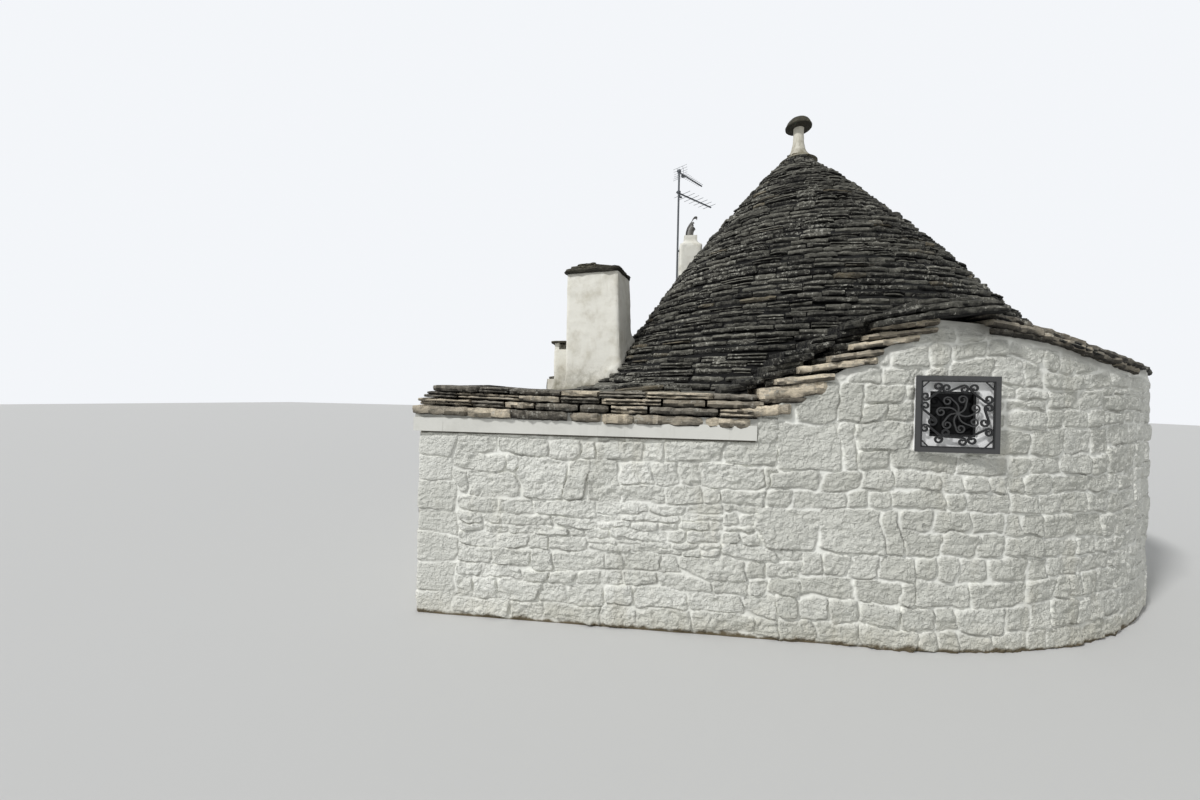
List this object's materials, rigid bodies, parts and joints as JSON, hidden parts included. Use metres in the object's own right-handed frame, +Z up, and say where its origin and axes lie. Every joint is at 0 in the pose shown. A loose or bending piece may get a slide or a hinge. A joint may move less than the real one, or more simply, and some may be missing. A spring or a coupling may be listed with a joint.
{
  "type": "trullo house",
  "caption": "Round dry-stone house with whitewashed walls, a conical roof of stone slabs, a pinnacle, a square wing, chimneys and a grilled window.",
  "frame": {"origin": "on the ground at the centre of the round wall, which is the middle of the house's plan", "axes": "+Z up, -Y towards the front wall with the window, -X towards the square wing"},
  "size_m": [7.164, 7.254, 5.9047],
  "materials": {
    "whitewashed_stone": "thick lime whitewash over rough stone, matt",
    "whitewashed_render": "smooth lime render with weather stains, matt",
    "grey_roof_slabs": "dark weathered limestone slabs with lichen, matt",
    "tan_stone_slabs": "tan limestone slabs, matt",
    "dark_stone": "dark weathered stone, matt",
    "black_iron": "dark grey painted wrought iron, satin",
    "dark_sheet_metal": "dark weathered sheet metal",
    "aerial_metal": "dull weathered tube"
  },
  "bodies": {
    "root": {"front_wall": "whitewashed_stone", "alcove_side_wall": "whitewashed_stone", "left_side_wall": "whitewashed_stone", "gable_wall_left": "whitewashed_stone", "wall_below_window": "whitewashed_stone", "wall_over_window": "whitewashed_stone", "gable_wall_right": "whitewashed_stone", "round_wall_front": "whitewashed_stone", "round_wall_right": "whitewashed_stone", "round_wall_back_right": "whitewashed_stone", "doorway_pier_right": "whitewashed_stone", "doorway_pier_left": "whitewashed_stone", "doorway_lintel": "whitewashed_stone", "round_wall_back_left": "whitewashed_stone", "alcove_ceiling": "whitewashed_stone", "main_chimney_stack": "whitewashed_render", "small_flue_post": "whitewashed_render", "rear_chimney_stack": "whitewashed_render", "window_panel": "whitewashed_render", "front_fascia_band": "whitewashed_render", "pinnacle_neck": "whitewashed_render", "inner_vault_lower": "whitewashed_render", "inner_vault_upper": "whitewashed_render", "cone_foot": "grey_roof_slabs", "cone_roof_lower": "grey_roof_slabs", "cone_roof_middle": "grey_roof_slabs", "cone_roof_upper": "grey_roof_slabs", "wing_roof": "grey_roof_slabs", "skirt_roof_front": "grey_roof_slabs", "skirt_roof_right": "grey_roof_slabs", "skirt_roof_back": "grey_roof_slabs", "skirt_roof_left": "grey_roof_slabs", "eaves_courses": "tan_stone_slabs", "gable_rake_left": "tan_stone_slabs", "gable_rake_right": "tan_stone_slabs", "rear_gable_slabs": "tan_stone_slabs", "doorway_threshold": "tan_stone_slabs", "main_chimney_cap": "dark_stone", "small_flue_slab": "dark_stone", "pinnacle_cap": "dark_stone", "window_grille_frame": "black_iron", "rear_chimney_cowl": "dark_sheet_metal", "aerial_mast": "aerial_metal", "upper_aerial": "aerial_metal", "lower_aerial": "aerial_metal"}
  },
  "joints": []
}
